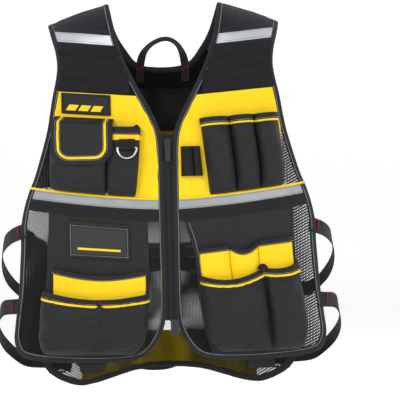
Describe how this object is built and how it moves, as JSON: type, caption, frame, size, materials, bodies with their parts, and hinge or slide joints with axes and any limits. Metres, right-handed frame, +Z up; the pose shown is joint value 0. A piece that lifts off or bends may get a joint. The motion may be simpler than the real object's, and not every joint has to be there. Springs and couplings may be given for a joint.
{
  "type": "utility work vest",
  "caption": "Sleeveless net work vest with padded shoulders, tool pockets, a front zip, reflective bands, a tool ring and side straps with slide buckles.",
  "frame": {"origin": "between the shoulders, at the height where they carry the vest", "axes": "+Z up, -Y out of the front, +X to the wearer's left"},
  "size_m": [0.578, 0.2953, 0.6476],
  "materials": {
    "net_black": "open diamond net",
    "tape_black": "woven binding tape",
    "loop_navy": "brushed loop fabric",
    "reflective": "retroreflective tape",
    "air_mesh": "padded air mesh",
    "yellow": "woven polyester",
    "canvas_black": "heavy woven canvas",
    "webbing_black": "woven webbing",
    "slate_grey": "smooth woven cloth",
    "plastic_black": "satin moulded",
    "nickel": "polished nickel",
    "thread_red": "bar tack thread",
    "thread_grey": "stitching thread",
    "window_film": "clear film over black"
  },
  "bodies": {
    "vest": {"front_net_right": "net_black", "front_net_left": "net_black", "back_net": "net_black", "front_binding_right": "tape_black", "front_binding_left": "tape_black", "neck_binding": "tape_black", "back_binding": "tape_black", "pen_pocket_band": "tape_black", "tube_pocket_band": "tape_black", "pleat_pocket_band": "tape_black", "twin_pocket_band": "tape_black", "zip": "tape_black", "shoulder_cap_right": "loop_navy", "shoulder_cap_left": "loop_navy", "back_yoke": "loop_navy", "shoulder_tape_right": "reflective", "shoulder_tape_left": "reflective", "chest_tape_right": "reflective", "chest_tape_left": "reflective", "back_tape": "reflective", "back_waist_tape": "reflective", "shoulder_pad_right": "air_mesh", "shoulder_pad_left": "air_mesh", "chest_panel_right": "yellow", "chest_panel_left": "yellow", "yellow_pocket_right": "yellow", "yellow_pockets_left": "yellow", "back_yellow_panel": "yellow", "back_hem_panel": "yellow", "flap_pocket": "canvas_black", "pocket_flap": "canvas_black", "pen_pocket": "canvas_black", "tube_pockets": "canvas_black", "lower_panel_right": "canvas_black", "lower_panel_left": "canvas_black", "window_pocket": "canvas_black", "pleat_pocket": "canvas_black", "twin_pocket": "canvas_black", "badge_patch": "canvas_black", "waist_webbing_right": "webbing_black", "waist_webbing_left": "webbing_black", "tool_webbing": "webbing_black", "ring_tab": "webbing_black", "back_waist_webbing": "webbing_black", "back_hem_webbing": "webbing_black", "hammer_loop": "webbing_black", "side_strap_upper_right": "webbing_black", "side_strap_lower_right": "webbing_black", "side_strap_upper_left": "webbing_black", "side_strap_lower_left": "webbing_black", "hanger_loop": "webbing_black", "slate_right": "slate_grey", "slate_left": "slate_grey", "zip_slider": "plastic_black", "buckle_upper_right": "plastic_black", "buckle_lower_right": "plastic_black", "buckle_upper_left": "plastic_black", "buckle_lower_left": "plastic_black"},
    "ring": {"d_ring": "nickel"},
    "pull": {"zip_pull": "plastic_black"}
  },
  "joints": [
    {"name": "ring_swing", "type": "hinge", "parent": "vest", "child": "ring", "pos_m": [-0.0667, -0.14148, -0.22055], "axis": [-0.9973, 0.0732, 0], "range_deg": [0, 110]},
    {"name": "pull_swing", "type": "hinge", "parent": "vest", "child": "pull", "pos_m": [0, -0.12235, -0.21695], "axis": [-1, 0, 0], "range_deg": [0, 100]}
  ]
}
